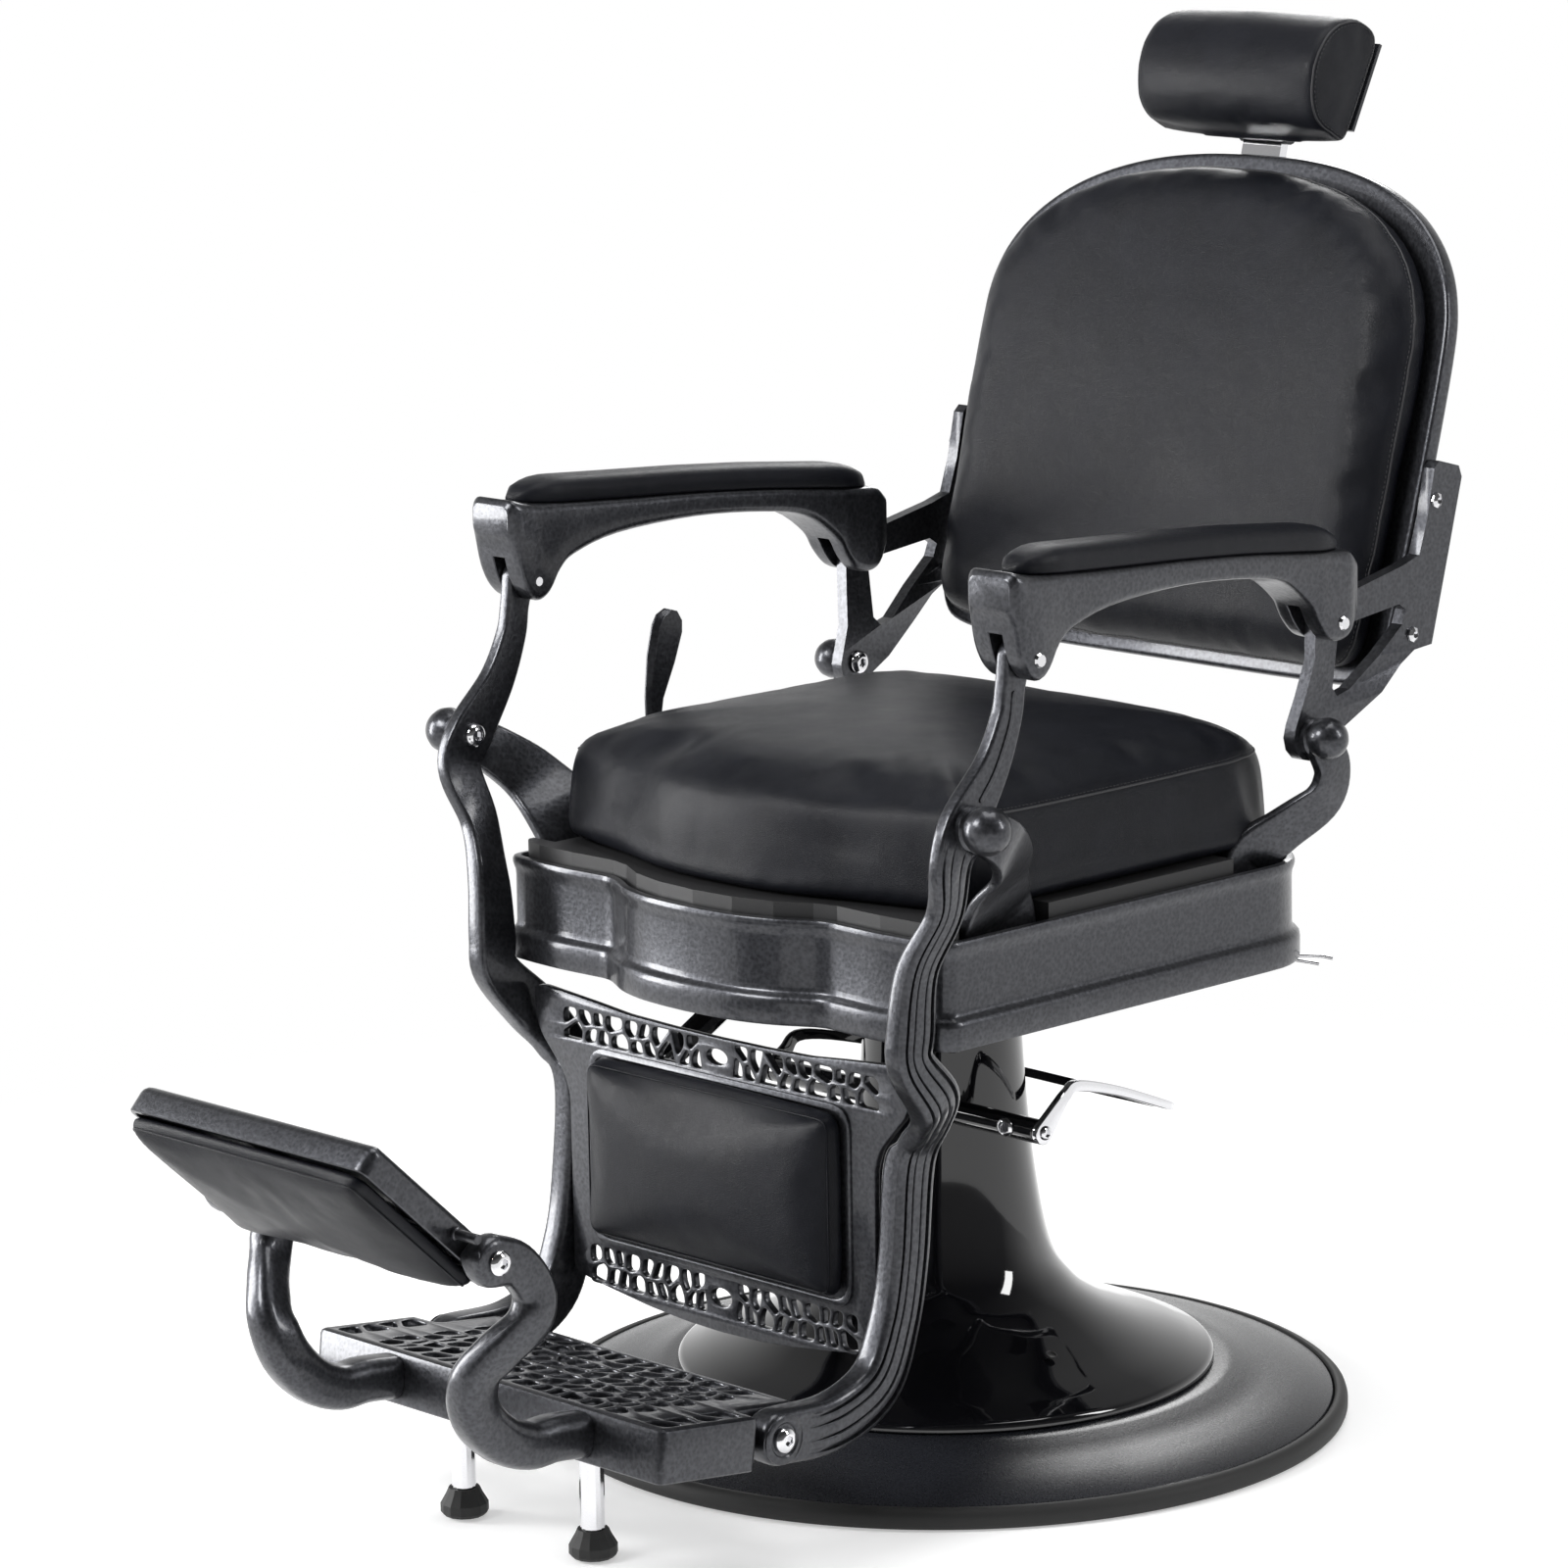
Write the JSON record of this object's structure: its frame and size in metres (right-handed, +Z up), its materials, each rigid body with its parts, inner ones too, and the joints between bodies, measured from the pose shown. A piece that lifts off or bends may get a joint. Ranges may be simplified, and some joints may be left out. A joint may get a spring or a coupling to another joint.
{
  "type": "hydraulic barber chair",
  "caption": "Hydraulic barber chair on a round pedestal with reclining back, linked arms and leg rest, openwork step, flip-over footrest and adjustable headrest.",
  "frame": {"origin": "centre of the column axis on the floor plane", "axes": "+Z up the column, the chair faces -Y, +X to the seated person's left"},
  "size_m": [0.7, 1.2399, 1.1829],
  "materials": {
    "hammered_paint": "hammered grey paint on castings",
    "chrome": "bright chrome plating",
    "gloss_black_paint": "gloss black paint",
    "satin_black_paint": "satin textured black paint",
    "frame_black_paint": "plain black paint",
    "black_leather": "fine grained black leather",
    "black_rubber": "matt black rubber",
    "ground_steel": "ground steel"
  },
  "bodies": {
    "base": {"base_plate": "satin_black_paint", "base_rim_rubber": "black_rubber", "pedestal_bell": "gloss_black_paint", "pump_guide_tube": "ground_steel"},
    "pump": {"pump_shaft": "gloss_black_paint", "pump_lever_L": "chrome", "pump_lever_R": "gloss_black_paint"},
    "ram": {"lift_ram": "chrome"},
    "seat": {"seat_apron": "hammered_paint", "seat_frame": "frame_black_paint", "seat_board": "frame_black_paint", "seat_cushion": "black_leather", "front_post_L": "hammered_paint", "front_post_R": "hammered_paint", "rear_post_L": "hammered_paint", "rear_post_R": "hammered_paint", "front_pivot_bolt_L": "chrome", "front_pivot_bolt_R": "chrome", "rear_pivot_bolt_L": "chrome", "rear_pivot_bolt_R": "chrome"},
    "leg": {"leg_panel": "hammered_paint", "calf_pad": "black_leather", "leg_lever_L": "hammered_paint", "leg_lever_R": "hammered_paint"},
    "foot": {"foot_plate": "hammered_paint", "foot_plate_bolt_L": "chrome", "foot_plate_bolt_R": "chrome", "foot_leg_L": "chrome", "foot_leg_R": "chrome", "foot_rubber_L": "black_rubber", "foot_rubber_R": "black_rubber", "step_arm_L": "hammered_paint", "step_arm_R": "hammered_paint"},
    "footrest": {"footrest_tray": "hammered_paint", "footrest_pad": "black_leather", "footrest_bolt_L": "chrome", "footrest_bolt_R": "chrome"},
    "back": {"back_shell": "hammered_paint", "back_cushion": "black_leather", "back_lever_L": "hammered_paint", "back_lever_R": "hammered_paint", "back_screw_1_L": "chrome", "back_screw_1_R": "chrome", "back_screw_2_L": "chrome", "back_screw_2_R": "chrome"},
    "arm_L": {"armrest_L": "hammered_paint", "arm_pad_L": "black_leather", "arm_front_pin_L": "chrome", "arm_rear_pin_L": "chrome"},
    "arm_R": {"armrest_R": "hammered_paint", "arm_pad_R": "black_leather", "arm_front_pin_R": "chrome", "arm_rear_pin_R": "chrome"},
    "headrest_stem": {"headrest_stem": "chrome"},
    "headrest": {"headrest_cushion": "black_leather", "headrest_bracket": "satin_black_paint"},
    "handle": {"recline_handle": "hammered_paint"},
    "strut_tube": {"recline_cylinder": "gloss_black_paint"},
    "strut_rod": {"recline_rod": "chrome"}
  },
  "joints": [
    {"name": "pump_hinge", "type": "hinge", "parent": "base", "child": "pump", "pos_m": [0, -0.046, 0.283], "axis": [1, 0, 0], "range_deg": [-8, 20]},
    {"name": "lift", "type": "slide", "parent": "base", "child": "ram", "axis": [0, 0, 1], "range_m": [0, 0.15]},
    {"name": "swivel", "type": "hinge", "parent": "ram", "child": "seat", "pos_m": [0, 0, 0.402], "axis": [0, 0, 1], "continuous": true},
    {"name": "recline", "type": "hinge", "parent": "seat", "child": "back", "pos_m": [0, 0.166, 0.606], "axis": [-1, 0, 0], "range_deg": [0, 40]},
    {"name": "leg_swing", "type": "hinge", "parent": "seat", "child": "leg", "pos_m": [0, -0.2745, 0.6], "axis": [-1, 0, 0], "range_deg": [0, 32.2]},
    {"name": "foot_plate_fold", "type": "hinge", "parent": "leg", "child": "foot", "pos_m": [0, -0.399, 0.106], "axis": [-1, 0, 0], "range_deg": [0, 20]},
    {"name": "footrest_flip", "type": "hinge", "parent": "foot", "child": "footrest", "pos_m": [0, -0.662, 0.301], "axis": [-1, 0, 0], "range_deg": [0, 100]},
    {"name": "arm_hinge_L", "type": "hinge", "parent": "back", "child": "arm_L", "pos_m": [0.279, 0.176, 0.704], "axis": [-1, 0, 0], "range_deg": [-43.5, 0]},
    {"name": "arm_hinge_R", "type": "hinge", "parent": "back", "child": "arm_R", "pos_m": [-0.279, 0.176, 0.704], "axis": [-1, 0, 0], "range_deg": [-43.5, 0]},
    {"name": "headrest_height", "type": "slide", "parent": "back", "child": "headrest_stem", "axis": [0, 0.2656, 0.9641], "range_m": [0, 0.08]},
    {"name": "headrest_tilt", "type": "hinge", "parent": "headrest_stem", "child": "headrest", "pos_m": [0, 0.42599, 1.07817], "axis": [-1, 0, 0], "range_deg": [-20, 20]},
    {"name": "handle_pull", "type": "hinge", "parent": "seat", "child": "handle", "pos_m": [-0.2795, -0.06, 0.461], "axis": [1, 0, 0], "range_deg": [0, 18]},
    {"name": "strut_tube_hinge", "type": "hinge", "parent": "seat", "child": "strut_tube", "pos_m": [-0.11, -0.06, 0.42], "axis": [-1, 0, 0], "range_deg": [0, 16.2]},
    {"name": "strut_rod_hinge", "type": "hinge", "parent": "leg", "child": "strut_rod", "pos_m": [-0.11, -0.245, 0.3215], "axis": [-1, 0, 0], "range_deg": [-16.2, 0]}
  ],
  "couplings": [
    {"joint": "leg_swing", "follows": "recline", "ratio": 0.8},
    {"joint": "arm_hinge_L", "follows": "recline", "ratio": -1.0855},
    {"joint": "arm_hinge_R", "follows": "recline", "ratio": -1.0855},
    {"joint": "strut_tube_hinge", "follows": "recline", "ratio": 0.4004},
    {"joint": "strut_rod_hinge", "follows": "recline", "ratio": -0.3996}
  ]
}
